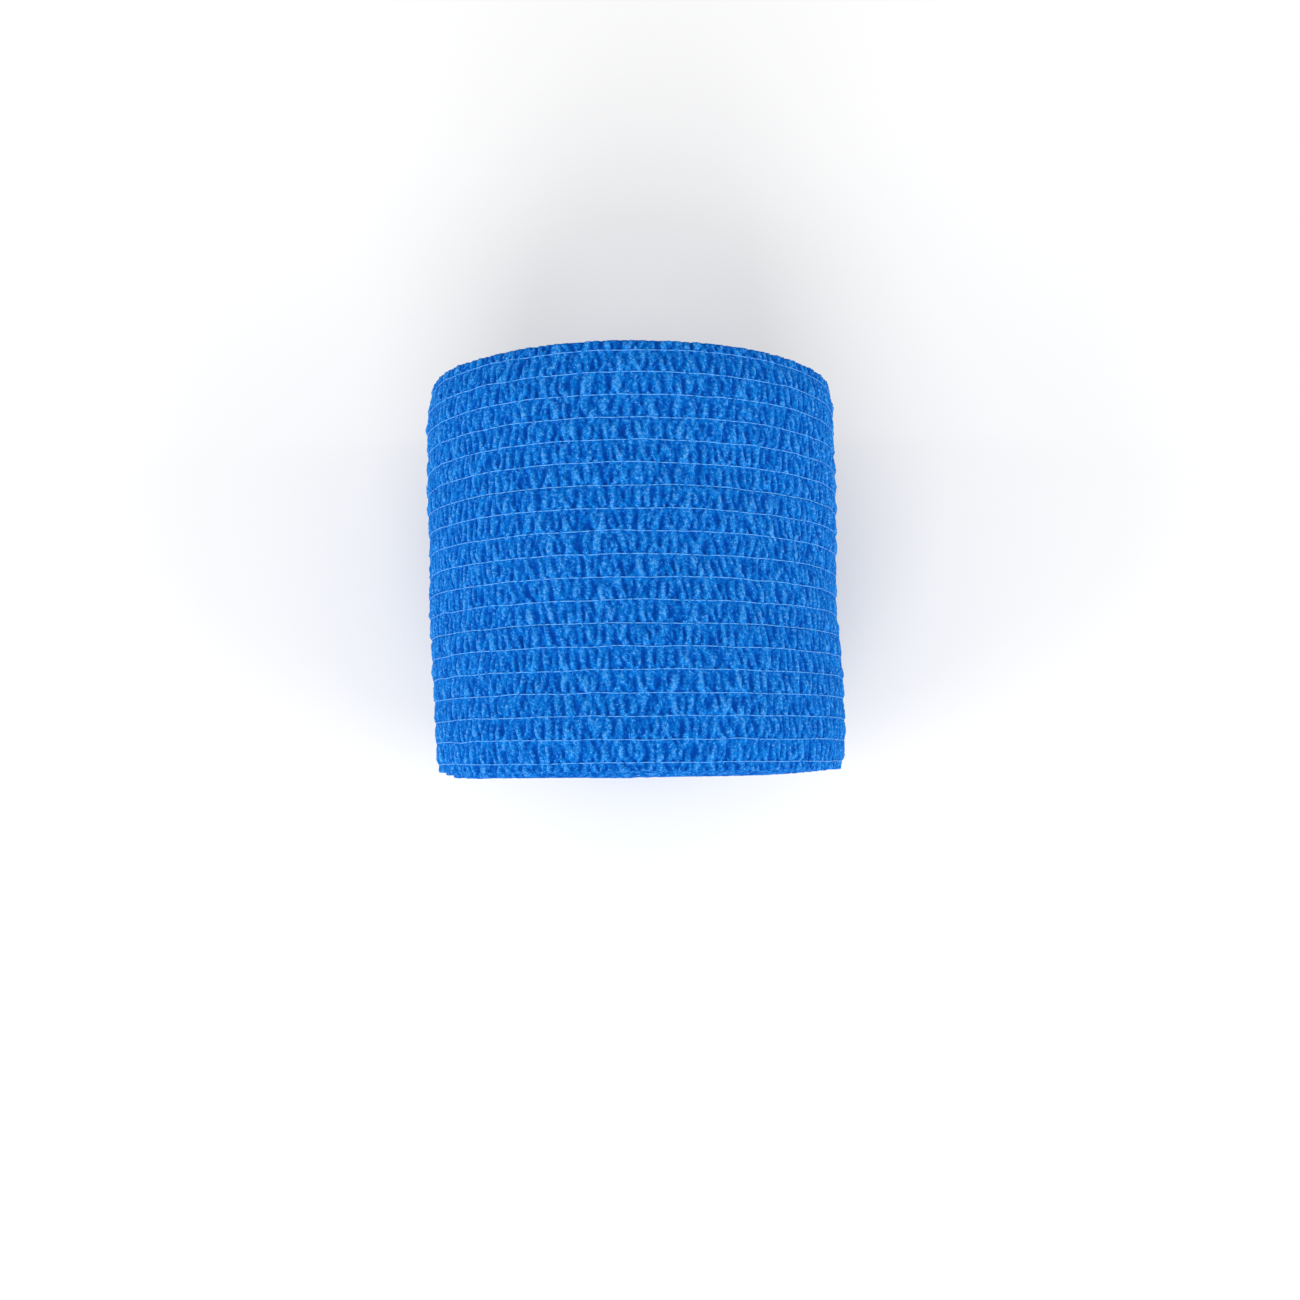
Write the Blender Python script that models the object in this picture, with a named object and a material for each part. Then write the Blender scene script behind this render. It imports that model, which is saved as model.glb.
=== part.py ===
"""Cohesive bandage roll: one strip of crinkled cloth wound on itself, lying on its side.

The roll's axis runs along Y and the roll rests on Z = 0. The cloth is puffed up in bands between
the elastic threads that run round it, so the wound form is ribbed from end to end. The strip's free
end is pressed down low on the +X side, where it leaves a step one turn high. The last few turns were
wound a little towards +Y, so the turns under them stand out at the -Y end and lie sunk at the other.
"""

import math

import bmesh
import bpy
import numpy as np

# The strip and its winding, in metres.
STRIP_WIDTH = 0.0500
ROLL_RADIUS = 0.02645
TURN_THICKNESS = 0.00095
OFFSET_OF_LAST_TURNS = 0.0007

# The bands between the elastic threads, measured from the strip's +Y edge.
THREAD_COUNT = 19
FIRST_THREAD = 0.00120
THREAD_SPACING = 0.002655
BAND_HEIGHT = 0.00030

# How the wound form differs from a true cylinder.
EDGE_DROP = 0.00075
EDGE_REACH = 0.0060
LEAN = 0.0008
LEAN_STARTS_AT = 0.0035
LEAN_LENGTH = 0.0230
FLAT_SPOT_DEPTH = 0.00048

# Where the axis lies at the +Y end, so that the footprint box is centred on the origin.
AXIS_X = -0.00052

# The free end: degrees round from the top towards +X, and how far round its step slopes.
FREE_END_ANGLE = 128.0
STEP_ANGLE = 1.1

# Steps of the mesh: columns round the roll, and places of the rows across one band.
COLUMNS = 68
ROWS_IN_BAND = (0.0, 0.28, 0.72)

# How far the cloth is puffed up at a thread, over a band, and on the strips outside the threads.
PUFF_AT_THREAD = 0.0
PUFF_OF_BAND = 1.0
PUFF_BESIDE_EDGE = 0.8
PUFF_AT_EDGE = 0.3

# The soft unevenness of the winding: waves round and along the roll, with phases in radians.
UNEVENNESS = (
    {"height": 0.00010, "waves_round": 2, "waves_along": 0.7, "phase": 0.4},
    {"height": 0.00008, "waves_round": 3, "waves_along": 1.6, "phase": 2.1},
    {"height": 0.00006, "waves_round": 5, "waves_along": 2.7, "phase": 4.0},
    {"height": 0.00005, "waves_round": 8, "waves_along": 4.3, "phase": 1.3},
)

# An end of the roll, from the rim to the eye. Each row gives how many turns in from the outline or
# what share of the radius a ring lies at, how far its turns are shifted (0 as the last turns, 1 as
# the turns under them), and how far the cloth's edge there is drawn in.
RIM_RINGS = (
    {"turns_in": 0.30, "shift": 0.0, "drawn_in": 0.0},
    {"turns_in": 0.85, "shift": 0.0, "drawn_in": 0.00022},
    {"turns_in": 1.90, "shift": 0.15, "drawn_in": 0.0},
    {"turns_in": 3.10, "shift": 1.0, "drawn_in": 0.0},
)
FACE_RINGS = (
    {"share": 0.66, "shift": 0.92, "drawn_in": 0.0},
    {"share": 0.40, "shift": 1.0, "drawn_in": 0.00010},
    {"share": 0.17, "shift": 1.0, "drawn_in": 0.00025},
    {"share": 0.070, "shift": 1.0, "drawn_in": 0.00055},
    {"share": 0.050, "shift": 1.0, "drawn_in": 0.00190},
)

CLOTH_BLUE = (0.010, 0.170, 0.600, 1.0)
CLOTH_ROUGHNESS = 0.85
SHARP_ANGLE = 45.0


def clear_scene():
    """Remove every object, so that the model starts from nothing."""
    for item in list(bpy.data.objects):
        bpy.data.objects.remove(item, do_unlink=True)


def cloth_material():
    """Bright blue crinkled cloth, dull all over."""
    material = bpy.data.materials.new("bandage_cloth")
    material.use_nodes = True
    shader = material.node_tree.nodes["Principled BSDF"]
    shader.inputs["Base Color"].default_value = CLOTH_BLUE
    shader.inputs["Roughness"].default_value = CLOTH_ROUGHNESS
    shader.inputs["Metallic"].default_value = 0.0
    return material


def turn_angles():
    """Angles wound back from the free end, in radians. The last column stops where the step starts."""
    return np.linspace(0.0, 2.0 * math.pi - math.radians(STEP_ANGLE), COLUMNS)


def turn_radii(angles):
    """The radius shrinks evenly by one turn's thickness in going once round from the free end."""
    return ROLL_RADIUS + TURN_THICKNESS * (0.5 - angles / (2.0 * math.pi))


def band_rows():
    """Distances from the strip's +Y edge at which the outside has a row, with the puff there.

    The puff is 0 at a thread and 1 over most of a band. The strips outside the first and the last
    thread are narrower, and fall away at the cut edge.
    """
    rows = [(0.0, PUFF_AT_EDGE), (0.5 * FIRST_THREAD, PUFF_BESIDE_EDGE)]
    for band in range(THREAD_COUNT - 1):
        start = FIRST_THREAD + band * THREAD_SPACING
        for place in ROWS_IN_BAND:
            puff = PUFF_OF_BAND if place > 0.0 else PUFF_AT_THREAD
            rows.append((start + place * THREAD_SPACING, puff))
    last_thread = FIRST_THREAD + (THREAD_COUNT - 1) * THREAD_SPACING
    rows.append((last_thread, PUFF_AT_THREAD))
    rows.append((0.5 * (last_thread + STRIP_WIDTH), PUFF_BESIDE_EDGE))
    rows.append((STRIP_WIDTH, PUFF_AT_EDGE))
    return rows


def edge_drop(distance):
    """The outermost cloth dips towards both cut edges, as a parabola that ends EDGE_REACH in."""
    from_edge = min(distance, STRIP_WIDTH - distance)
    return EDGE_DROP * max(0.0, 1.0 - from_edge / EDGE_REACH) ** 2


def sideways(y):
    """The turns lean towards +X in the half near -Y, by a smooth step of height LEAN."""
    share = np.clip((LEAN_STARTS_AT - y) / LEAN_LENGTH, 0.0, 1.0)
    return LEAN * share * share * (3.0 - 2.0 * share)


def unevenness(angles, along):
    """A few long waves round and along the roll, for a winding that isn't quite even."""
    total = np.zeros_like(angles)
    for wave in UNEVENNESS:
        turned = wave["waves_round"] * angles + wave["waves_along"] * math.tau * along
        total += wave["height"] * np.sin(turned + wave["phase"])
    return total


def ring(radii, y, height):
    """One closed row of points round the axis, which is height above the surface at Z = 0.

    The angles run back from the free end, over the top. Nothing reaches below the surface.
    """
    angles = math.radians(FREE_END_ANGLE) - turn_angles()
    x = AXIS_X + sideways(y) + radii * np.sin(angles)
    z = height + radii * np.cos(angles)
    return np.column_stack((x, np.full_like(x, y), np.maximum(z, 0.0)))


def axis_height():
    """The height at which the lowest cloth is pressed flat by FLAT_SPOT_DEPTH."""
    angle_to_bottom = math.radians(FREE_END_ANGLE + 180.0)
    return turn_radii(angle_to_bottom) - FLAT_SPOT_DEPTH


def end_rings(side, outline, height):
    """Rows of one end, from the rim to the eye. side is +1 at the +Y end and -1 at the other.

    A shift of 1 moves the ring by the whole offset towards -Y, which sinks it at +Y and raises it
    at -Y. What is drawn in goes into the roll at both ends.
    """
    edge = 0.5 * (side * STRIP_WIDTH + OFFSET_OF_LAST_TURNS)
    rows = []
    for row in RIM_RINGS:
        y = edge - row["shift"] * OFFSET_OF_LAST_TURNS - side * row["drawn_in"]
        rows.append(ring(outline - row["turns_in"] * TURN_THICKNESS, y, height))
    for row in FACE_RINGS:
        y = edge - row["shift"] * OFFSET_OF_LAST_TURNS - side * row["drawn_in"]
        rows.append(ring(outline * row["share"], y, height))
    return rows


def outside_rings(height):
    """Rows of the outside, from the +Y edge to the -Y edge."""
    angles = turn_angles()
    first_edge = 0.5 * (STRIP_WIDTH + OFFSET_OF_LAST_TURNS)
    rows = []
    for distance, puff in band_rows():
        radii = turn_radii(angles) - BAND_HEIGHT * (1.0 - puff) - edge_drop(distance)
        radii = radii + unevenness(angles, distance / STRIP_WIDTH)
        rows.append((radii, ring(radii, first_edge - distance, height)))
    return rows


def roll_mesh():
    """A grid of closed rows from eye to eye, with a fan of triangles at the bottom of each eye."""
    height = axis_height()
    outside = outside_rings(height)
    rows = end_rings(+1, outside[0][0], height)[::-1]
    rows += [points for _, points in outside]
    rows += end_rings(-1, outside[-1][0], height)

    bm = bmesh.new()
    loops = [[bm.verts.new(point) for point in points] for points in rows]
    for upper, lower in zip(loops, loops[1:]):
        for column in range(COLUMNS):
            after = (column + 1) % COLUMNS
            bm.faces.new((upper[column], upper[after], lower[after], lower[column]))
    for loop, points in ((loops[0], rows[0]), (loops[-1], rows[-1])):
        centre = bm.verts.new(points.mean(axis=0))
        for column in range(COLUMNS):
            bm.faces.new((centre, loop[column], loop[(column + 1) % COLUMNS]))
    bmesh.ops.recalc_face_normals(bm, faces=bm.faces)

    mesh = bpy.data.meshes.new("bandage_roll")
    bm.to_mesh(mesh)
    bm.free()
    return mesh


def build_roll():
    """The wound bandage as one object."""
    mesh = roll_mesh()
    mesh.materials.append(cloth_material())
    mesh.shade_smooth()
    mesh.set_sharp_from_angle(angle=math.radians(SHARP_ANGLE))
    roll = bpy.data.objects.new("bandage_roll", mesh)
    bpy.context.scene.collection.objects.link(roll)
    return roll


clear_scene()
build_roll()
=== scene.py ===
# %% [markdown]
# # A cohesive bandage roll
#
# The object is one long strip of crinkled cloth that sticks to itself, wound up without a core.
# Fine elastic threads run the length of the strip and draw the cloth together, so that it puffs up in
# rows of small folds between them. A cylinder with bumps in its material would be quick, but its
# outline and its two ends would be smooth. So this lesson winds the strip itself: the spiral of turns
# that shows at the ends, the outermost turn with its folds, and the threads. The solid model gives
# the place and the size, and everything below is set out inside it.

# %% Load the fixed frame
import math

import bpy
import numpy as np
from mathutils import Matrix, Vector


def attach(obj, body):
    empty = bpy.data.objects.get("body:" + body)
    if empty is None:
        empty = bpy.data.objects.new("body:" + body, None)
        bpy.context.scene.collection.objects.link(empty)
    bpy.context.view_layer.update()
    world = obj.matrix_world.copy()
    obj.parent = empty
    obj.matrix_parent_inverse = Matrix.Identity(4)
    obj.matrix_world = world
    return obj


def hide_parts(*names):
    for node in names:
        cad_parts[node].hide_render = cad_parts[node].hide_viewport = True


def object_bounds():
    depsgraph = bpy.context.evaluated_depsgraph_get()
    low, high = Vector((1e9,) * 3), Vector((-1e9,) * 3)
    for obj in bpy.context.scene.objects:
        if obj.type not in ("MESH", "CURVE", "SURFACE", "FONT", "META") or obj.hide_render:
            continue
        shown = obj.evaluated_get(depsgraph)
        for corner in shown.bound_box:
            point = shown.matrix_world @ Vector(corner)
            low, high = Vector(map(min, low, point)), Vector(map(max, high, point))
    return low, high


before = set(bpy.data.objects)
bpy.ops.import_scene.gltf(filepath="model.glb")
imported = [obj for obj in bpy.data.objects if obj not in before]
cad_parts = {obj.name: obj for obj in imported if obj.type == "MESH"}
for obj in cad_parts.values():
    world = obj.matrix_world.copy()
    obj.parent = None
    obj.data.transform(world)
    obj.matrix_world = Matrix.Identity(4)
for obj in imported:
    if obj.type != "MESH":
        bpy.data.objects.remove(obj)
SOLID_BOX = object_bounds()
MM_PER_METRE = 1000.0
print("solid box in mm:", [[round(c * MM_PER_METRE, 2) for c in corner] for corner in SOLID_BOX])

# %% [markdown]
# ## Sizes
#
# The strip is 50 mm wide and its outside is 53 mm across when wound. Numbers could be typed where
# they are used, but a size with a name is changed in one place only. These are the same named sizes
# that the solid is built from. Two are read from the solid's own box instead of being repeated: the
# edge of the outermost turn, which is the box's highest Y, and how far the turns under it are offset.

# %% The strip, its threads and its winding, in metres
STRIP_WIDTH = 0.0500
ROLL_RADIUS = 0.02645
TURN_THICKNESS = 0.00095
CLOTH_THICKNESS = 0.00050

THREAD_COUNT = 19
FIRST_THREAD = 0.00120
THREAD_SPACING = 0.002655
LAST_THREAD = FIRST_THREAD + (THREAD_COUNT - 1) * THREAD_SPACING

FIRST_EDGE = SOLID_BOX[1].y
OFFSET_OF_LAST_TURNS = (SOLID_BOX[1].y - SOLID_BOX[0].y) - STRIP_WIDTH

TURN = 2.0 * math.pi
FREE_END_ANGLE = math.radians(128.0)
TURNS_TO_BOTTOM = (FREE_END_ANGLE + math.pi) / TURN
FLAT_SPOT_DEPTH = 0.00048
AXIS_X = -0.00052
AXIS_HEIGHT = ROLL_RADIUS + TURN_THICKNESS * (0.5 - TURNS_TO_BOTTOM) - FLAT_SPOT_DEPTH
print(f"a thread every {THREAD_SPACING * MM_PER_METRE:.3f} mm")
print(f"axis {AXIS_HEIGHT * MM_PER_METRE:.2f} mm above the floor")

# %% [markdown]
# ## Smooth noise
#
# Cloth is never quite regular, and a row of equal folds looks like a machine part. A lattice of random
# heights, joined by a smooth curve, gives any shape a slow wander. Blender has noise of its own, but
# only one place at a time. This one is worked out for whole arrays at once, and each seed always gives
# the same heights.

# %% A smooth random surface
LATTICE = 256


def smooth_step(share):
    """3t^2 - 2t^3, held at 0 below 0 and at 1 above 1."""
    share = np.clip(share, 0.0, 1.0)
    return share * share * (3.0 - 2.0 * share)


def between(values, i, j, a, b):
    """A repeating grid's value in the cell (i, j): a of the way along it and b of the way across,
    straight between the four corners."""
    i_next = (i + 1) % values.shape[0]
    j_next = (j + 1) % values.shape[1]
    i = i % values.shape[0]
    j = j % values.shape[1]
    near = values[i, j] * (1.0 - a) + values[i_next, j] * a
    far = values[i, j_next] * (1.0 - a) + values[i_next, j_next] * a
    return near * (1.0 - b) + far * b


def wander(seed, along, across):
    """Value noise from -1 to 1: random heights at whole numbers, joined both ways by 3t^2 - 2t^3."""
    heights = np.random.default_rng(seed).uniform(-1.0, 1.0, (LATTICE, LATTICE))
    i = np.floor(along).astype(int)
    j = np.floor(across).astype(int)
    return between(heights, i, j, smooth_step(along - i), smooth_step(across - j))


def summed_wanders(waves, along, across):
    """The sum of several wanders. Each has a seed, a size, the wavelength of its waves along, and how
    far apart on the random surface it reads two places across that are 1 apart."""
    return sum(wave["size"] * wander(wave["seed"], along / wave["wavelength"], across * wave["apart"])
               for wave in waves)


print("a wander over one wave:", wander(1, np.linspace(0.0, 1.0, 5), np.zeros(5)).round(2))

# %% [markdown]
# ## Winding
#
# A point of the strip is told by three numbers: how far it was wound back from the free end (an angle,
# which goes on past a full turn), how far across the strip it lies, and how far it stands above or
# below the smooth spiral. One function turns these into a place on the roll. Bending a flat mesh with
# a modifier would do it too, but a formula also gives the roll its faults: the long unevenness, the
# softer edges, the lean of the lower half, the last turns that were wound a little to one side, the
# eye pressed into each end, and the flat spot on which the roll lies.

# %% The faults of the winding, in metres
EDGE_DROP = 0.00075
EDGE_REACH = 0.0060
LEAN = 0.0008
LEAN_STARTS_AT = 0.0035
LEAN_LENGTH = 0.0230
UNEVENNESS = (
    {"height": 0.00010, "waves_round": 2, "waves_along": 0.7, "phase": 0.4},
    {"height": 0.00008, "waves_round": 3, "waves_along": 1.6, "phase": 2.1},
    {"height": 0.00006, "waves_round": 5, "waves_along": 2.7, "phase": 4.0},
    {"height": 0.00005, "waves_round": 8, "waves_along": 4.3, "phase": 1.3},
)
EYE_DEPTH = 0.0016
EYE_RADIUS = 0.0012
DISH_DEPTH = 0.00028
DISH_RADIUS = 0.0055

# The offset of the last turns, in turns back from the free end: where it starts, and how many turns
# it takes on either side of the roll.
OFFSET_STARTS = 0.9
OFFSET_OVER_AT_LEFT = 1.9
OFFSET_OVER_AT_RIGHT = 12.0

# The cosine of the angle from straight down within which the floor can press the cloth.
PRESSED_WITHIN = 0.5
most_uneven = sum(wave["height"] for wave in UNEVENNESS)
print(f"the winding is uneven by {most_uneven * MM_PER_METRE:.2f} mm at most")


# %% From the strip to the roll
def spiral_radius(wound):
    """The smooth outside of the strip: it sinks by one turn's thickness in each turn wound back."""
    return ROLL_RADIUS + TURN_THICKNESS * (0.5 - wound / TURN)


def winding_faults(wound, across):
    """How far the winding lies off the smooth spiral, outwards: long waves, less a dip at the edges."""
    off = np.zeros(np.broadcast(wound, across).shape)
    for wave in UNEVENNESS:
        turned = wave["waves_round"] * wound + wave["waves_along"] * TURN * across / STRIP_WIDTH
        off = off + wave["height"] * np.sin(turned + wave["phase"])
    from_edge = np.minimum(across, STRIP_WIDTH - across)
    return off - EDGE_DROP * np.clip(1.0 - from_edge / EDGE_REACH, 0.0, 1.0) ** 2


def pressed(radius, angle):
    """Flatten what would reach below the floor: the turns there are scaled towards the axis, the outer
    ones most, so that the outermost one just meets the floor."""
    outline = spiral_radius(np.mod(FREE_END_ANGLE - angle, TURN))
    down = -np.cos(angle)
    to_floor = AXIS_HEIGHT / np.maximum(down, PRESSED_WITHIN)
    keep = np.where(down > PRESSED_WITHIN, np.minimum(to_floor / outline, 1.0), 1.0)
    return radius * (1.0 - (1.0 - keep) * (radius / outline) ** 2)


def shift_of_turns(wound, angle):
    """How far a turn lies back from the outermost one along the axis: a parabola that levels out at
    the full offset, which it reaches sooner on the left than on the right."""
    right = smooth_step(0.5 + 0.5 * np.sin(angle))
    taken_over = OFFSET_OVER_AT_LEFT + right * (OFFSET_OVER_AT_RIGHT - OFFSET_OVER_AT_LEFT)
    share = np.clip((wound / TURN - OFFSET_STARTS) / taken_over, 0.0, 1.0)
    return share * (2.0 - share) * OFFSET_OF_LAST_TURNS


def on_roll(wound, across, rise):
    """Points of the strip on the roll, with x, y and z last. wound, across and rise are arrays that fit
    each other. Faults of the winding fade towards the eye with the square of the radius."""
    smooth = spiral_radius(wound)
    depth = (smooth / ROLL_RADIUS) ** 2
    angle = FREE_END_ANGLE - wound
    radius = pressed(smooth + winding_faults(wound, across) * depth + rise, angle)
    side = 1.0 - 2.0 * across / STRIP_WIDTH
    eye = EYE_DEPTH * np.exp(-(smooth / EYE_RADIUS) ** 2)
    dish = DISH_DEPTH * np.exp(-(smooth / DISH_RADIUS) ** 2)
    y = FIRST_EDGE - across - shift_of_turns(wound, angle) - side * (eye + dish)
    x = AXIS_X + LEAN * smooth_step((LEAN_STARTS_AT - y) / LEAN_LENGTH) + radius * np.sin(angle)
    z = np.maximum(AXIS_HEIGHT + radius * np.cos(angle), 0.0)
    return np.stack(np.broadcast_arrays(x, y, z), axis=-1)


top = on_roll(FREE_END_ANGLE, 0.5 * STRIP_WIDTH, 0.0)
print("the top of the roll, halfway along, in mm:", (top * MM_PER_METRE).round(2))

# %% [markdown]
# ## Lengths along a spiral
#
# Folds have a size in millimetres, so the folding has to know how much cloth lies between two angles.
# It could be added up step by step, but for a spiral whose radius falls evenly that length is a
# parabola in the angle, and the parabola can be turned round to give the angle at any length.


# %% Length and angle
def length_at(wound):
    """The strip's length from the free end: the sum of radius times angle along the spiral."""
    start = ROLL_RADIUS + 0.5 * TURN_THICKNESS
    return start * wound - TURN_THICKNESS * wound ** 2 / (2.0 * TURN)


def wound_at(length):
    """The angle wound back from the free end at a length: the parabola above, solved for the angle."""
    start = ROLL_RADIUS + 0.5 * TURN_THICKNESS
    root = np.sqrt(start ** 2 - 2.0 * TURN_THICKNESS * length / TURN)
    return (start - root) * TURN / TURN_THICKNESS


# The radius at which the strip's first end lies, in the eye of the roll.
EYE_START = 0.00042
TURNS = (ROLL_RADIUS + 0.5 * TURN_THICKNESS - EYE_START) / TURN_THICKNESS
STRIP_LENGTH = float(length_at(TURNS * TURN))
print(f"{TURNS:.1f} turns, {STRIP_LENGTH:.2f} m of unstretched cloth")

# %% [markdown]
# ## Noise with chosen waves
#
# Folds in gathered cloth are irregular in a special way: they all run the same way and lie about
# equally far apart, and yet they swell, fork and die out. White noise holds waves of every length and
# direction. If only those near one length and one direction are kept, what is left is just such a
# pattern of folds. The Fourier transform splits the noise into its waves, so keeping some of them is
# a multiplication by a weight. Keeping only the waves that run one way gives complex numbers, whose
# size is the local height of the waves: dividing by part of it evens out the weak and strong places.
# A cloth simulation would fold more truly, but not thousands of folds in a few seconds.

# %% A repeating sheet of noise, in metres
NOISE_LENGTH = 0.1792
NOISE_WIDTH = 0.0512
STEP_ALONG = 0.00010
STEP_ACROSS = 0.00020


def wave_noise(seed, waves_along, spread_along, spread_across, evenness):
    """White noise with each of its waves weighted by two bell curves: one around waves_along per
    metre along the strip, and one around none per metre across it. With an evenness from 0 to 1 the
    waves are divided by that share of their own local height. The mean square is 1."""
    size = (round(NOISE_LENGTH / STEP_ALONG), round(NOISE_WIDTH / STEP_ACROSS))
    white = np.random.default_rng(seed).standard_normal(size)
    along = np.fft.fftfreq(size[0], STEP_ALONG)[:, None]
    across = np.fft.fftfreq(size[1], STEP_ACROSS)[None, :]
    off_along = (along - waves_along) / spread_along
    weight = np.exp(-0.5 * off_along ** 2 - 0.5 * (across / spread_across) ** 2)
    waves = np.fft.ifft2(np.fft.fft2(white) * np.where(along > 0.0, weight, 0.0))
    strength = np.abs(waves) / np.abs(waves).mean()
    field = waves.real / (1.0 + evenness * (strength - 1.0))
    return field / field.std()


def read_noise(field, length, across):
    """The sheet's value at any place, straight between its four nearest points. The sheet repeats."""
    along = length / STEP_ALONG
    over = across / STEP_ACROSS
    i = np.floor(along).astype(int)
    j = np.floor(over).astype(int)
    return between(field, i, j, along - i, over - j)


print(f"a sheet repeats after {NOISE_LENGTH * MM_PER_METRE:.1f} mm along the strip")

# %% [markdown]
# ## The folds
#
# Where the threads gather the cloth it rises in narrow folds that run across the strip, a little over
# a millimetre apart. Crests are rounded and valleys are narrow creases, which one exponential curve
# makes out of the even noise. Small creases lie over the folds, and broad swellings under them. The
# threads hold it all down, so the folds are highest in between, a little past the middle of the band.
# A bump in the material would shade like folds, but only real ones show at the outline and the ends.

# %% Sheets of folds, swellings and creases
FOLDS = wave_noise(
    seed=11, waves_along=0.80 * MM_PER_METRE, spread_along=0.27 * MM_PER_METRE,
    spread_across=0.52 * MM_PER_METRE, evenness=0.8)
SWELLINGS = wave_noise(
    seed=12, waves_along=0.30 * MM_PER_METRE, spread_along=0.18 * MM_PER_METRE,
    spread_across=0.34 * MM_PER_METRE, evenness=0.0)
CREASES = wave_noise(
    seed=13, waves_along=1.60 * MM_PER_METRE, spread_along=0.70 * MM_PER_METRE,
    spread_across=1.40 * MM_PER_METRE, evenness=0.0)
print(f"sheets of {FOLDS.shape[0]} by {FOLDS.shape[1]} points")

# %% Heights, in metres
FOLD_HEIGHT = 0.00033
SWELLING_HEIGHT = 0.00006
CREASE_HEIGHT = 0.00006
PINCH = 0.00008
print(f"folds {FOLD_HEIGHT * MM_PER_METRE:.2f} mm high, drawn in {PINCH * MM_PER_METRE:.2f} mm")

# %% How the threads hold the folds
# FOLD_AT_THREAD is the share of their height that folds keep at a thread. The higher FULLEST_LOW is,
# the further past the middle of a band they are fullest. The two powers say how evenly full the band
# is: folds spread wider than the pinch. EDGE_PLACE is how far into a band the strip is cut at its
# first edge, and as far before the end of one at its last.
FOLD_AT_THREAD = 0.50
FULLEST_LOW = 1.80
POWER_OF_FOLDS = 0.60
POWER_OF_PINCH = 0.75
EDGE_PLACE = 0.35
STRAIGHTNESS = 0.60

# The even noise is kept within these heights, and its crests are rounded off at this height.
WAVE_RANGE = (-2.2, 3.0)
CREST_ROUNDING = 3.0
print(f"folds keep {FOLD_AT_THREAD:.0%} of their height at a thread")


# %% The height of the cloth
def in_band(across):
    """0 at a thread, growing evenly towards 1 at the next."""
    return np.mod((across - FIRST_THREAD) / THREAD_SPACING, 1.0)


def band_place(across):
    """The same, but the two strips outside the threads begin or end part of the way over, as if cut."""
    before = EDGE_PLACE + (1.0 - EDGE_PLACE) * across / FIRST_THREAD
    after = (1.0 - EDGE_PLACE) * (across - LAST_THREAD) / (STRIP_WIDTH - LAST_THREAD)
    place = np.where(across > LAST_THREAD, after, in_band(across))
    return np.where(across < FIRST_THREAD, before, place)


def arch(across, power):
    """Half a sine wave from thread to thread, fullest past the middle of the band, raised to a power:
    a small power gives a full puff."""
    place = np.clip(band_place(across) ** FULLEST_LOW, 0.0, 1.0)
    return np.clip(np.sin(np.pi * place), 0.0, 1.0) ** power


def crest_and_crease(wave):
    """1 - exp(-x / 3): an even wave's crests become round and low, and its valleys narrow and deep."""
    return 1.0 - np.exp(np.clip(wave, *WAVE_RANGE) / -CREST_ROUNDING)


def straightened(across):
    """The place across at which a fold is read, moved by STRAIGHTNESS times (t^3 - t) / 2 of a band,
    where t goes from -1 to 1 over the band. It changes slowly inside a band and quickly under a
    thread, so folds run nearly straight from thread to thread and few go on into the next band."""
    t = 2.0 * in_band(across) - 1.0
    return across + STRAIGHTNESS * THREAD_SPACING * 0.5 * (t ** 3 - t)


def pinch(across):
    """How far the threads draw the cloth in: most at a thread, not at all where a band is fullest."""
    return PINCH * (1.0 - arch(across, POWER_OF_PINCH))


def cloth_rise(length, across):
    """How far the outside of the cloth stands above the smooth spiral, below 0 in the valleys."""
    held = FOLD_AT_THREAD + (1.0 - FOLD_AT_THREAD) * arch(across, POWER_OF_FOLDS)
    rise = FOLD_HEIGHT * crest_and_crease(read_noise(FOLDS, length, straightened(across)))
    rise = rise + SWELLING_HEIGHT * read_noise(SWELLINGS, length, across)
    rise = rise + CREASE_HEIGHT * read_noise(CREASES, length, across)
    return rise * held - pinch(across)


places = np.linspace(0.0, STRIP_WIDTH, 500)
heights_in_mm = cloth_rise(places[:, None], places[None, :]) * MM_PER_METRE
print(f"the cloth stands {heights_in_mm.min():.2f} to {heights_in_mm.max():.2f} mm high")

# %% [markdown]
# ## Putting arrays into a mesh
#
# Every piece below is a grid of points with a few rows of triangles to close its ends. It could be
# built face by face, but writing whole arrays into the mesh is quick even for hundreds of thousands of
# faces. A closed shape holds a positive volume when its faces point outwards, so that sum both checks
# the shape and turns it the right way round.

# %% A piece from arrays
CUBIC_MM_PER_CUBIC_METRE = MM_PER_METRE ** 3


def signed_volume(points, triangles):
    """One sixth of the sum of each triangle's corner times the cross product of the other two."""
    a, b, c = (points[triangles[:, k]] for k in range(3))
    return float((a * np.cross(b, c)).sum() / 6.0)


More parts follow.
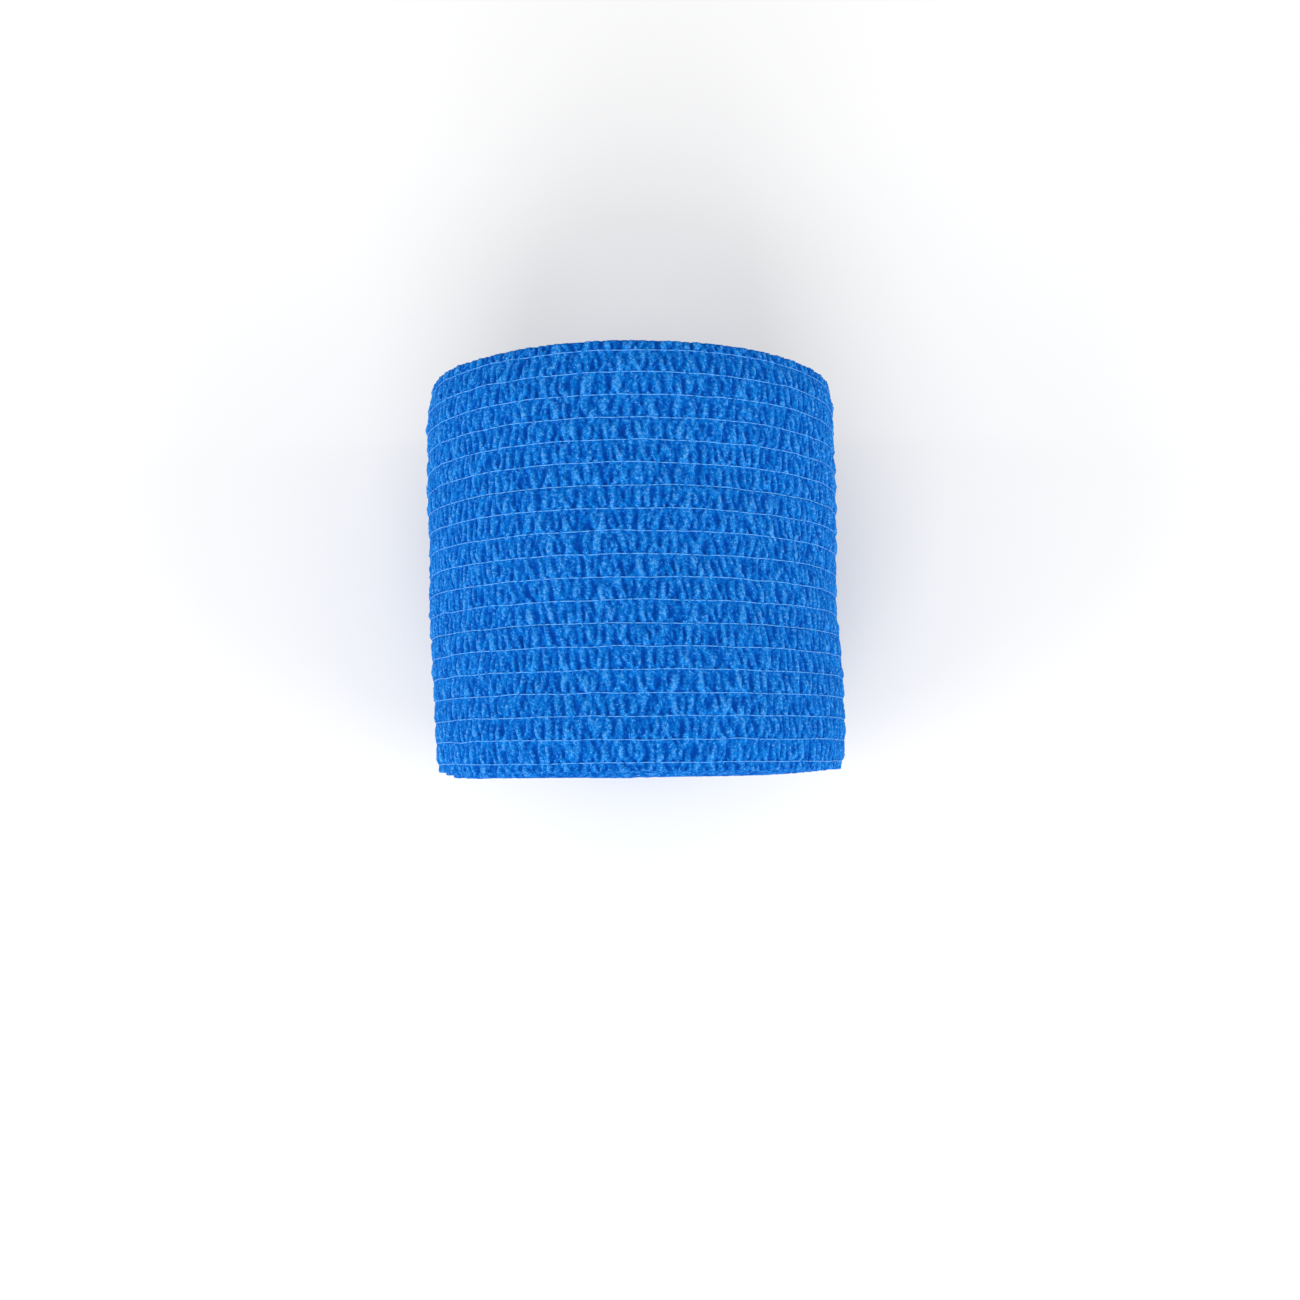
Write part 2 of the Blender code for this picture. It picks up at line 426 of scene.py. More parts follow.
def make_piece(name, points, triangles, quads):
    """A mesh object at the origin from points (n, 3), triangles (m, 3) and quads (k, 4)."""
    halves = np.concatenate((triangles, quads[:, [0, 1, 2]], quads[:, [0, 2, 3]]))
    volume = signed_volume(points, halves)
    if volume < 0.0:
        triangles = triangles[:, ::-1]
        quads = quads[:, ::-1]
    mesh = bpy.data.meshes.new(name)
    mesh.vertices.add(len(points))
    mesh.vertices.foreach_set("co", points.astype(np.float32).ravel())
    corners = np.concatenate((triangles.ravel(), quads.ravel())).astype(np.int32)
    sizes = np.concatenate((np.full(len(triangles), 3), np.full(len(quads), 4)))
    starts = np.concatenate(([0], np.cumsum(sizes)[:-1])).astype(np.int32)
    mesh.loops.add(len(corners))
    mesh.loops.foreach_set("vertex_index", corners)
    mesh.polygons.add(len(sizes))
    mesh.polygons.foreach_set("loop_start", starts)
    mesh.polygons.foreach_set("use_smooth", np.ones(len(sizes), bool))
    mesh.update(calc_edges=True)
    mesh.validate()
    piece = bpy.data.objects.new(name, mesh)
    bpy.context.scene.collection.objects.link(piece)
    holds = abs(volume) * CUBIC_MM_PER_CUBIC_METRE
    print(f"{name}: {len(points)} points, {len(halves)} triangles, {holds:.0f} cubic mm")
    return piece


# %% A map and a value for the materials
MAP_UNITS_PER_METRE = 100.0


def add_strip_map(piece, along, across):
    """A UV map in units of 10 mm: the place on the strip, so that fibres follow the cloth."""
    mesh = piece.data
    corner = np.empty(len(mesh.loops), np.int32)
    mesh.loops.foreach_get("vertex_index", corner)
    places = np.column_stack((along[corner], across[corner])) * MAP_UNITS_PER_METRE
    mesh.uv_layers.new(name="strip").data.foreach_set("uv", places.astype(np.float32).ravel())


def add_point_value(piece, name, values):
    """One number for each point, which a material can read by its name."""
    layer = piece.data.attributes.new(name, "FLOAT", "POINT")
    layer.data.foreach_set("value", values.astype(np.float32).ravel())


print(f"the map has one unit for {MM_PER_METRE / MAP_UNITS_PER_METRE:.0f} mm of cloth")

# %% [markdown]
# ## A length of the strip
#
# A length of cloth is a thin closed shape. It could be a surface with a Solidify modifier, but then
# its hidden side would have as many faces as the side that shows. So its cross-section is a closed
# line: over the outside from one side to the other in many rows, and back along the inside in a few,
# because the turn below hides it. That line is carried along the spiral. Each row of the line says
# where it lies across the strip, how far below the outside it is, and whether it is on the hidden
# underside. A cut edge is rounded off with two rows of its own.

# %% Sizes of the cut edges, in metres
CUT_ROUNDING = 0.00014
CUT_INSET = 0.00006

# The underside can be seen this far in from a cut edge. From the second distance on it is hidden and
# pressed flat, and lies at this height from the smooth spiral.
SEEN_UNDER = 0.00060
HIDDEN_UNDER = 0.00130
PRESSED_UNDERSIDE = -0.00090


# %% The cross-section
def section(outer_rows, thickness, cut_first, cut_last):
    """The closed line as three arrays, and how many of its rows are outside. The arrays are the place
    across the strip, the depth below the outside, and true on the rows of the hidden underside, where
    the cloth is pressed flat on the turn below."""
    outside = [(across, 0.0, 0) for across in outer_rows]
    underside = [(outer_rows[-1], thickness, 1), (outer_rows[0], thickness, 1)]
    rounded = thickness - CUT_ROUNDING
    if cut_first:
        outside[:1] = [(0.0, CUT_ROUNDING, 0), (CUT_INSET, 0.0, 0)]
        underside[-1:] = [(HIDDEN_UNDER, thickness, 1), (SEEN_UNDER, thickness, 0),
                          (CUT_INSET, thickness, 0), (0.0, rounded, 0)]
    if cut_last:
        outside[-1:] = [(STRIP_WIDTH - CUT_INSET, 0.0, 0), (STRIP_WIDTH, CUT_ROUNDING, 0)]
        underside[:1] = [(STRIP_WIDTH, rounded, 0),
                         (STRIP_WIDTH - CUT_INSET, thickness, 0),
                         (STRIP_WIDTH - SEEN_UNDER, thickness, 0),
                         (STRIP_WIDTH - HIDDEN_UNDER, thickness, 1)]
    rows = np.array(outside + underside)
    return rows[:, 0], rows[:, 1], rows[:, 2] > 0.5, len(outside)


plain_across, plain_below, plain_flat, plain_outside = section(
    (0.0, STRIP_WIDTH), CLOTH_THICKNESS, cut_first=True, cut_last=True)
print(f"{len(plain_across)} rows go round a strip that is cut on both sides and has no folds")

# %% [markdown]
# Fibres must not be smeared over the cut edges. Unwrapping the mesh would cut its map into pieces, so
# the map follows the closed line round the edges instead: forwards over the far edge and backwards
# over the near one. The jump between the two ways lies on the hidden underside.


# %% A map round the closed line
def way_round(across, below, pressed_flat):
    """The distance along the line from its first row, taken backwards from the first hidden row on."""
    steps = np.abs(np.diff(np.append(across, across[0]))) + np.abs(np.diff(np.append(below, below[0])))
    forwards = np.concatenate(([0.0], np.cumsum(steps)[:-1]))
    after_hidden = np.arange(len(across)) > np.argmax(pressed_flat)
    return across[0] + np.where(after_hidden, forwards - steps.sum(), forwards)


map_in_mm = way_round(plain_across, plain_below, plain_flat) * MM_PER_METRE
print(f"across a plain strip the map goes from {map_in_mm.min():.2f} to {map_in_mm.max():.2f} mm")

# %% [markdown]
# The ends of a length are closed by triangles between the outside's many points and the underside's
# few. One face with a hundred corners would close it too, but such a face is shaded and cut up badly.
# Each step along the outside is joined to the nearest point below it, and wherever that nearest point
# changes, one more triangle fills the step below.


# %% Closing an end
def zip_rows(upper, upper_across, lower, lower_across):
    """Triangles between two lines of points that have different counts, by the nearest place across."""
    lower_middles = 0.5 * (lower_across[1:] + lower_across[:-1])
    nearest = np.searchsorted(lower_middles, 0.5 * (upper_across[1:] + upper_across[:-1]))
    fans = np.column_stack((upper[:-1], upper[1:], lower[nearest]))
    turns_at = np.searchsorted(nearest, np.arange(1, len(lower)))
    joins = np.column_stack((upper[turns_at], lower[1:], lower[:-1]))
    return np.concatenate((fans, joins))


def sweep_faces(columns, across, outer_count):
    """Quads between neighbouring columns of a closed line, and triangles over both ends."""
    count = len(across)
    column = np.arange(columns - 1)[:, None] * count
    row = np.arange(count)[None, :]
    after = (row + 1) % count
    following = column + count
    quads = np.stack((column + row, column + after, following + after, following + row), axis=-1)
    caps = []
    for first in (0, (columns - 1) * count):
        upper = first + np.arange(outer_count)
        lower = first + np.arange(count - 1, outer_count - 1, -1)
        cap = zip_rows(upper, across[:outer_count], lower, across[outer_count:][::-1])
        caps.append(cap if first else cap[:, ::-1])
    return quads.reshape(-1, 4), np.concatenate(caps)


plain_quads, plain_caps = sweep_faces(2, plain_across, plain_outside)
print(f"{len(plain_quads)} quads and {len(plain_caps)} triangles close a plain strip")

# %% [markdown]
# The strip was slit and cut by a blade, so its edges are nearly straight but not quite: the side edges
# wander by about a tenth of a millimetre, and the free end is a little ragged between threads. The
# free end was pressed down on the turn below, so the cloth dips over its last two millimetres. A
# Boolean modifier could cut such edges, but it would break up the even grid, so the rows and columns
# at an edge are moved a little instead.

# %% How straight the cuts are, in metres
FREE_END_DIP = 0.00042
FREE_END_REACH = 0.0022
RAGGED_REACH = 0.0012
SIDE_EDGE_WANDERS = (
    {"seed": 41, "size": 0.00009, "wavelength": 0.0080, "apart": 1.0},
    {"seed": 42, "size": 0.00006, "wavelength": 0.0007, "apart": 1.0},
)
FREE_END_WANDERS = (
    {"seed": 43, "size": 0.00020, "wavelength": 0.0014, "apart": 1.0},
    {"seed": 44, "size": 0.00008, "wavelength": 0.0004, "apart": 1.0},
)
print(f"the free end dips by {FREE_END_DIP * MM_PER_METRE:.2f} mm")

# %% [markdown]
# The cloth's colour follows its height: shade is painted into the valleys and light onto the crests,
# because light sinks into the folds. A material can measure hollows too, but that measure changes with
# how fine the mesh is. So the height is kept as a number at each point, from 0 in the deepest valleys
# to 1 on the highest crests, without what the threads draw the cloth in.

# %% Which heights the colour shows, in metres
# Over these heights the colour goes from painted valley shade to painted crest light.
LOWEST_SHOWN = -0.00032
SHOWN_RANGE = 0.00060
print(f"colour changes over {SHOWN_RANGE * MM_PER_METRE:.2f} mm of height")


# %% Carrying the cross-section along the spiral
def edge_wander(length):
    """A slow and a quick wander of the side edges."""
    return summed_wanders(SIDE_EDGE_WANDERS, length, np.full_like(length, 0.5))


def ragged_cut(across):
    """How far the free end's edge lies from a straight cut."""
    return summed_wanders(FREE_END_WANDERS, across, np.full_like(across, 0.5))


def free_end_dip(length):
    """The dip towards the free end: a parabola that ends FREE_END_REACH back from it."""
    return FREE_END_DIP * np.clip(1.0 - length / FREE_END_REACH, 0.0, 1.0) ** 2


def cloth_length(name, lengths, outer_rows, thickness, cuts, rise_of):
    """One closed length of the strip. lengths are the columns' distances from the free end, cuts says
    whether the first and the last side are cut edges, and rise_of gives the height of the outside at a
    length and a place across."""
    across, below, pressed_flat, outer_count = section(outer_rows, thickness, *cuts)
    along = np.broadcast_to(lengths[:, None], (len(lengths), len(across)))
    over = np.broadcast_to(across[None, :], along.shape)
    rise = rise_of(along, over) - free_end_dip(along)
    depth = np.where(pressed_flat, PRESSED_UNDERSIDE, np.maximum(rise - below, PRESSED_UNDERSIDE))
    place = along + ragged_cut(over) * np.clip(1.0 - along / RAGGED_REACH, 0.0, 1.0)
    at_cut = np.minimum(over, STRIP_WIDTH - over) < 2.0 * CUT_INSET
    points = on_roll(wound_at(place), over + edge_wander(along) * at_cut, depth)
    quads, caps = sweep_faces(len(lengths), across, outer_count)
    piece = make_piece(name, points.reshape(-1, 3), caps, quads)
    round_edges = np.broadcast_to(way_round(across, below, pressed_flat), along.shape)
    add_strip_map(piece, along.ravel(), round_edges.ravel())
    # The height that picks painted shade in the valleys and painted light on the crests.
    shown = (rise + pinch(over) - LOWEST_SHOWN) / SHOWN_RANGE
    add_point_value(piece, "rise", np.clip(shown, 0.0, 1.0))
    return piece


# %% [markdown]
# ## The outermost turn
#
# Its outside needs a row every third of a millimetre and a column every seventh, so that a fold has
# eight points over it. That is more faces than one mesh should hold, so the turn is made as three
# pieces side by side. They meet along two of the threads, where the thread covers the join. Cutting
# round the roll instead would leave joins across the folds, where nothing hides them.

# %% Rows and columns of the outermost turn
ROWS_IN_BAND = np.array([0.0, 0.08, 0.19, 0.31, 0.44, 0.57, 0.70, 0.82, 0.93])
BESIDE_FIRST = FIRST_THREAD * np.array([0.0, 0.20, 0.42, 0.64, 0.84])
BESIDE_LAST = LAST_THREAD + (STRIP_WIDTH - LAST_THREAD) * np.array([0.16, 0.36, 0.58, 0.80, 1.0])
JOINS = (6, 12)

FIRST_COLUMNS = (0.0, 0.00004, 0.00010, 0.00018)
EVEN_COLUMNS_FROM = 0.00028
COLUMN_STEP = 0.000140
OVERLAP = math.radians(18.0)
OUTER_LENGTH = float(length_at(TURN + OVERLAP))


def rows_between(first_thread, last_thread):
    """Rows over the bands between two threads, both included."""
    bands = np.arange(first_thread, last_thread)[:, None] + ROWS_IN_BAND[None, :]
    return FIRST_THREAD + THREAD_SPACING * np.append(bands.ravel(), last_thread)


even_columns = np.arange(EVEN_COLUMNS_FROM, OUTER_LENGTH, COLUMN_STEP)
outer_columns = np.concatenate((FIRST_COLUMNS, even_columns, [OUTER_LENGTH]))
print(f"{len(outer_columns)} columns over {OUTER_LENGTH * MM_PER_METRE:.1f} mm")

# %% Wind the outermost turn
first_rows = np.concatenate((BESIDE_FIRST, rows_between(0, JOINS[0])))
last_rows = np.concatenate((rows_between(JOINS[1], THREAD_COUNT - 1), BESIDE_LAST))
outer_pieces = [
    cloth_length(name, outer_columns, rows, CLOTH_THICKNESS, cuts, cloth_rise)
    for name, rows, cuts in (("outer_turn_a", first_rows, (True, False)),
                             ("outer_turn_b", rows_between(*JOINS), (False, False)),
                             ("outer_turn_c", last_rows, (False, True)))
]

# %% [markdown]
# ## The turns inside
#
# Under the outermost turn only the edges of the cloth show, at the two ends of the roll. A flat disc
# with a spiral drawn on it could stand for them, but it would look flat from the side. So these turns
# keep their full length, about two metres, and have rows only near the edges. The pull of the winding
# presses them together: their folds are lower than outside, and a millimetre in from the edge they lie
# so close that hardly any gap is left. The strip is made as two halves that meet in the hidden middle,
# again to keep each mesh small.

# %% Sizes of the pressed turns, in metres
PRESSED_THICKNESS = 0.00064
PRESSED_FROM = 0.00100
INNER_STEP = 0.000206

# The share of their height that folds keep, how much that share wanders, the slack between turns, and
# where the fade ends, as a multiple of PRESSED_FROM.
PRESSED_FOLDS = 0.66
FOLDS_WANDER = ({"seed": 63, "size": 0.25, "wavelength": 0.0060, "apart": 1.0},)
SLACK_WANDERS = (
    {"seed": 61, "size": 0.00008, "wavelength": 0.0040, "apart": 1.0},
    {"seed": 62, "size": 0.00006, "wavelength": 0.0013, "apart": 1.0},
)
FADED_AT = 1.2
print(f"folds keep about {PRESSED_FOLDS:.0%} of their height inside")


# %% Wind the turns inside
def pressed_rise(length, across):
    """The folds of the cloth made lower, with some slack and tight stretches, all faded out a little
    past PRESSED_FROM in from the edge."""
    from_edge = np.minimum(across, STRIP_WIDTH - across)
    kept = PRESSED_FOLDS + summed_wanders(FOLDS_WANDER, length, across)
    folds = kept * cloth_rise(length, across)
    slack = summed_wanders(SLACK_WANDERS, length, across)
    return (folds + slack) * smooth_step(FADED_AT - from_edge / PRESSED_FROM)


inner_columns = np.arange(OUTER_LENGTH, STRIP_LENGTH, INNER_STEP)
half_rows = np.array([0.0, PRESSED_FROM, 0.5 * STRIP_WIDTH])
inner_pieces = [
    cloth_length(name, inner_columns, rows, PRESSED_THICKNESS, cuts, pressed_rise)
    for name, rows, cuts in (("inner_turns_a", half_rows, (True, False)),
                             ("inner_turns_b", STRIP_WIDTH - half_rows[::-1], (False, True)))
]

# %% [markdown]
# ## The elastic threads
#
# Each thread is drawn tight round the roll. It bridges the narrow valleys and sinks a little into the
# crests, where fibres lie over it, so it shows as a fine line that fades here and there. A line in the
# cloth's material would be thinner than a pixel in places and would bridge nothing. So it is a thin
# tube with four sides, which follows the cloth's height averaged over half a fold each way.

# %% Sizes of the threads, in metres
THREAD_RADIUS = 0.000062
THREAD_SIDES = 4
THREAD_STEP = 0.00028
THREAD_ABOVE_CLOTH = 0.00006
THREAD_STICKS_OUT = 0.00015
AVERAGE_OVER = 2

# How a thread wanders sideways, and how it bobs up and down.
THREAD_WANDERS = (
    {"seed": 51, "size": 0.00009, "wavelength": 0.0034, "apart": 7.3},
    {"seed": 52, "size": 0.00003, "wavelength": 0.0009, "apart": 5.1},
)
THREAD_BOBS = ({"seed": 53, "size": 0.00005, "wavelength": 0.0013, "apart": 3.7},)
print(f"{THREAD_COUNT} threads, {2.0 * THREAD_RADIUS * MM_PER_METRE:.2f} mm thick")


# %% Lay the threads
def averaged(lines):
    """Each value replaced by the mean of itself and AVERAGE_OVER neighbours each way along its line."""
    window = 2 * AVERAGE_OVER + 1
    kernel = np.ones(window) / window
    padded = np.pad(lines, ((0, 0), (AVERAGE_OVER, AVERAGE_OVER)), mode="edge")
    return np.apply_along_axis(lambda line: np.convolve(line, kernel, mode="valid"), 1, padded)


def thread_tubes():
    """Points (thread, column, side, xyz) of all the tubes, with their lengths along the strip."""
    lengths = np.arange(-THREAD_STICKS_OUT, OUTER_LENGTH, THREAD_STEP)
    number = np.arange(THREAD_COUNT)[:, None]
    along = np.broadcast_to(lengths[None, :], (THREAD_COUNT, len(lengths)))
    straight = FIRST_THREAD + number * THREAD_SPACING + 0.0 * along
    across = straight + summed_wanders(THREAD_WANDERS, along, number)
    rise = averaged(cloth_rise(np.maximum(along, 0.0), straight)) - free_end_dip(along)
    rise = rise + THREAD_ABOVE_CLOTH + summed_wanders(THREAD_BOBS, along, number)
    side = np.arange(THREAD_SIDES) * TURN / THREAD_SIDES
    across = across[..., None] + THREAD_RADIUS * np.cos(side)
    rise = rise[..., None] + THREAD_RADIUS * np.sin(side)
    return on_roll(wound_at(along)[..., None], across, rise), lengths


def tube_faces(columns):
    """Quads round every tube, and a fan of triangles over both ends of each."""
    per_tube = columns * THREAD_SIDES
    tube = np.arange(THREAD_COUNT)[:, None, None] * per_tube
    near = tube + np.arange(columns - 1)[None, :, None] * THREAD_SIDES
    far = near + THREAD_SIDES
    side = np.arange(THREAD_SIDES)[None, None, :]
    after = (side + 1) % THREAD_SIDES
    quads = np.stack((near + side, near + after, far + after, far + side), axis=-1)
    fan = np.arange(1, THREAD_SIDES - 1)
    first_end = np.stack((0 * fan, fan + 1, fan), axis=-1)
    last_end = per_tube - THREAD_SIDES + first_end[:, ::-1]
    ends = np.concatenate((first_end, last_end))[None] + tube
    return quads.reshape(-1, 4), ends.reshape(-1, 3)


# %% One mesh for all the threads
# In metres across, so that no two threads share a place on the map.
THREADS_APART_ON_MAP = 0.01

thread_points, thread_lengths = thread_tubes()
thread_quads, thread_ends = tube_faces(len(thread_lengths))
threads = make_piece("elastic_threads", thread_points.reshape(-1, 3), thread_ends, thread_quads)
thread_along = np.broadcast_to(thread_lengths[None, :, None], thread_points.shape[:3])
thread_place = np.arange(THREAD_COUNT)[:, None, None] * THREADS_APART_ON_MAP
thread_place = np.broadcast_to(thread_place, thread_points.shape[:3])
add_strip_map(threads, thread_along.ravel(), thread_place.ravel())

# %% [markdown]
# ## Writing materials as sums
#
# A material is a tree of nodes, and most of them do plain arithmetic. Adding and linking each node by
# hand would bury the sum in names of sockets. Wrapping a socket in a small class lets an ordinary
# expression add those nodes. Everything else comes from one method that takes a node's type, its
# settings and what goes into its sockets.


# %% A socket that can be reckoned with
class Wire:
    """A number that varies over a surface. Arithmetic on it adds Math nodes to its tree."""

    def __init__(self, finish, socket):
        self.finish = finish
        self.socket = socket

    def math(self, operation, first, second=0.0):
        """Add a Math node, and wrap what comes out of it."""
        return self.finish.add("ShaderNodeMath", {"operation": operation}, {0: first, 1: second})

    def __add__(self, other):
        return self.math("ADD", self, other)

    def __radd__(self, other):
        return self.math("ADD", other, self)

    def __sub__(self, other):
        return self.math("SUBTRACT", self, other)

    def __rsub__(self, other):
        return self.math("SUBTRACT", other, self)

    def __mul__(self, other):
        return self.math("MULTIPLY", self, other)

    def __rmul__(self, other):
        return self.math("MULTIPLY", other, self)

    def __abs__(self):
        return self.math("ABSOLUTE", self)


# %% A material under construction
class Finish:
    """A material with its shader, one method that adds any node, and a few that use it."""

    def __init__(self, name):
        self.material = bpy.data.materials.new(name)
        self.material.use_nodes = True
        self.tree = self.material.node_tree
        self.shader = self.tree.nodes["Principled BSDF"]

    def add(self, kind, settings, inputs, output=0):
        """Add a node: its settings first, then the values or links of its sockets."""
        node = self.tree.nodes.new(kind)
        for name, value in settings.items():
            setattr(node, name, value)
        for key, value in inputs.items():
            self.connect(node.inputs[key], value)
        return Wire(self, node.outputs[output])

    def connect(self, socket, value):
        """Link a wire into a socket, or set the socket's own value."""
        if isinstance(value, Wire):
            self.tree.links.new(value.socket, socket)
        else:
            socket.default_value = value

    def surface(self, inputs):
        """Fill the shader's sockets, and hand over the finished material."""
        for name, value in inputs.items():
            self.connect(self.shader.inputs[name], value)
        return self.material

    def strip_map(self):
        """The place on the strip, in units of 10 mm."""
        return self.add("ShaderNodeUVMap", {"uv_map": "strip"}, {})

    def mix(self, share, first, second):
        """A colour between two colours, by a share from 0 to 1."""
        return self.add("ShaderNodeMix", {"data_type": "RGBA"}, {0: share, 6: first, 7: second}, 2)

    def ramp(self, value, low, high):
        """0 below low and 1 above high, with a smooth rise between them."""
        settings = {"interpolation_type": "SMOOTHSTEP"}
        return self.add("ShaderNodeMapRange", settings, {0: value, 1: low, 2: high, 3: 0.0, 4: 1.0})

    def noise(self, place, scale, detail):
        """Smooth noise from 0 to 1 at a place. The scale is how many of its waves lie in 10 mm."""
        return self.add("ShaderNodeTexNoise", {}, {"Vector": place, "Scale": scale, "Detail": detail})

    def bump(self, height, distance, strength):
        """The surface's direction over a relief as deep as distance, in metres."""
        inputs = {"Height": height, "Distance": distance, "Strength": strength}
        return self.add("ShaderNodeBump", {}, inputs)


# %% [markdown]
# ## The cloth
#
# The cloth is a thin felt of fine fibres, dyed bright blue all through and made tacky. Close to, it has
# stray fibres in every direction, which catch the light as pale flecks on the crests, and it looks
# darker and deeper down in the folds, where light comes off several blue walls in turn. Both are
# painted
# into the colour: pale highlights on the fibres and crests, and shade in the valleys. The fibres are
# far too many to be hairs of their own. They follow the strip, so they are drawn on the strip's own
# map: long thin noise, in three directions, whose middle values make fine lines.

# %% Colours of the cloth and the thread (linear)
# The deep blue is painted shade for the valleys, and the crest blue is painted light for the crests.
PAINTED_VALLEY_SHADE = (0.0001, 0.056, 0.345, 1.0)
CLOTH_BLUE = (0.0003, 0.142, 0.530, 1.0)
PAINTED_CREST_LIGHT = (0.003, 0.228, 0.650, 1.0)
# A pale painted highlight for glints and stray fibres.
PAINTED_FIBRE_HIGHLIGHT = (0.170, 0.375, 0.735, 1.0)
THREAD_PALE = (0.090, 0.335, 0.740, 1.0)
THREAD_SUNK = (0.004, 0.145, 0.500, 1.0)
SHEEN_BLUE = (0.35, 0.60, 1.0, 1.0)

# %% Fibres
# Each direction has an angle in degrees, and how many waves of noise lie in 10 mm each way. A line
# covers the values this close to the middle of the noise: fully at first, and not at all at last.
FIBRE_DIRECTIONS = (
    {"angle": 18.0, "stretch": (11.0, 95.0, 1.0)},
    {"angle": -41.0, "stretch": (12.0, 85.0, 1.0)},
    {"angle": 77.0, "stretch": (12.0, 80.0, 1.0)},
)
FIBRE_LINE = (0.008, 0.045)
NOISE_MIDDLE = 0.5


def fibre_lines(finish, place, angle, stretch):
    """Fine lines along one direction: 1 on a line and 0 away from it."""
    turned = finish.add("ShaderNodeMapping", {}, {
        "Vector": place, "Rotation": (0.0, 0.0, math.radians(angle)), "Scale": stretch})
    value = finish.noise(turned, scale=1.0, detail=1.0)
    return 1.0 - finish.ramp(abs(value - NOISE_MIDDLE), *FIBRE_LINE)


print(f"fibres in {len(FIBRE_DIRECTIONS)} directions")

# %% How the cloth's colours meet
# On a scale from 0 in the valleys to 1 on the crests, where each blue begins and where it is full.
# Below the cloth blue lies painted valley shade, and over it painted crest light.
CLOTH_BLUE_FROM_TO = (0.14, 0.70)
CREST_LIGHT_FROM_TO = (0.55, 0.98)

# How far each noise, from broad to fine, moves a place up or down that scale.
PATCHES_MOVE = 0.70
FLECKS_MOVE = 0.95
SPECKS_MOVE = 0.45

# Glints are painted highlights. They come where flecks and specks are bright, a little sooner above the
# middle height.
FLECKS_GLINT = 0.50
SPECKS_GLINT = 0.60
HEIGHT_GLINT = 0.25
MIDDLE_HEIGHT = 0.5
GLINT_FROM_TO = (0.60, 0.80)

# Stray fibres are painted as pale highlights. They come in tufts, a few in the valleys and more on the
# crests.
STRAY_IN_VALLEYS = 0.20
STRAY_MORE_ON_CRESTS = 0.60
TUFTS_FROM_TO = (0.40, 0.65)
STRAY_FROM_TO = (0.10, 0.90)

# How much of its own colour each of the three lays over what is below it: painted crest light, painted
# glints and painted highlights on stray fibres.
CREST_SHARE = 0.75
GLINT_SHARE = 0.70
STRAY_SHARE = 0.40
print(f"glints and stray fibres are at most {GLINT_SHARE:.0%} and {STRAY_SHARE:.0%} pale")

# %% The cloth's fuzz
# The depth of the relief in metres, and how much fibres, grain and flecks give to it.
FUZZ_DEPTH = 0.00006
FUZZ_STRENGTH = 0.7
FIBRES_FUZZ = 0.35
GRAIN_FUZZ = 0.55
FLECKS_FUZZ = 2.40

# Felt is rough all over, and a stray fibre a little less so.
CLOTH_ROUGHNESS = 0.88
STRAY_LESS_ROUGH = 0.25
print(f"fuzz {FUZZ_DEPTH * MM_PER_METRE:.2f} mm deep")


# %% Cloth
def cloth_finish():
    """Bright blue felt, with painted shade in the valleys, painted light on the crests, and pale
    painted highlights in glints and on stray fibres. Four noises, from broad patches to fine grain,
    keep the colour from following the height alone."""
    finish = Finish("bandage_cloth")
    place = finish.strip_map()
    rise = finish.add("ShaderNodeAttribute", {"attribute_name": "rise"}, {}, 2)
    lines = [fibre_lines(finish, place, **row) for row in FIBRE_DIRECTIONS]
    fibres = lines[0] + lines[1] + lines[2]
    patches = finish.noise(place, scale=7.0, detail=2.0)
    flecks = finish.noise(place, scale=28.0, detail=2.0)
    specks = finish.noise(place, scale=78.0, detail=1.0)
    grain = finish.noise(place, scale=120.0, detail=3.0)

    # The height, moved by noise, picks painted shade in the valleys and painted light on the crests.
    height = rise + (patches - NOISE_MIDDLE) * PATCHES_MOVE
    height = height + (flecks - NOISE_MIDDLE) * FLECKS_MOVE + (specks - NOISE_MIDDLE) * SPECKS_MOVE
    crest_light = finish.ramp(height, *CREST_LIGHT_FROM_TO)
    colour = finish.mix(finish.ramp(height, *CLOTH_BLUE_FROM_TO), PAINTED_VALLEY_SHADE, CLOTH_BLUE)
    colour = finish.mix(crest_light * CREST_SHARE, colour, PAINTED_CREST_LIGHT)

    # Glints are pale painted highlights.
    bright = flecks * FLECKS_GLINT + specks * SPECKS_GLINT + (rise - MIDDLE_HEIGHT) * HEIGHT_GLINT
    glint = finish.ramp(bright, *GLINT_FROM_TO)
    colour = finish.mix(glint * GLINT_SHARE, colour, PAINTED_FIBRE_HIGHLIGHT)

    # Stray fibres get pale painted highlights, more of them on the crests.
    strayed = fibres * (STRAY_IN_VALLEYS + crest_light * STRAY_MORE_ON_CRESTS)
    stray = finish.ramp(strayed * finish.ramp(grain, *TUFTS_FROM_TO), *STRAY_FROM_TO)
    colour = finish.mix(stray * STRAY_SHARE, colour, PAINTED_FIBRE_HIGHLIGHT)

    fuzz = fibres * FIBRES_FUZZ + grain * GRAIN_FUZZ + flecks * FLECKS_FUZZ
    return finish.surface({
        "Base Color": colour,
        "Roughness": CLOTH_ROUGHNESS - stray * STRAY_LESS_ROUGH,
        "Normal": finish.bump(fuzz, FUZZ_DEPTH, FUZZ_STRENGTH),
        "Specular IOR Level": 0.02,
        "Sheen Weight": 0.005,
        "Sheen Roughness": 0.45,
        "Sheen Tint": SHEEN_BLUE,
    })


# %% [markdown]
# ## The thread
#
# The thread is a pale, slightly shiny elastic yarn. Where the cloth's fibres lie over it some blue
# shows through. Modelling those fibres would cost many faces for a line this thin, so its colour
# wavers along its length between a pale blue and nearly the blue of the cloth.

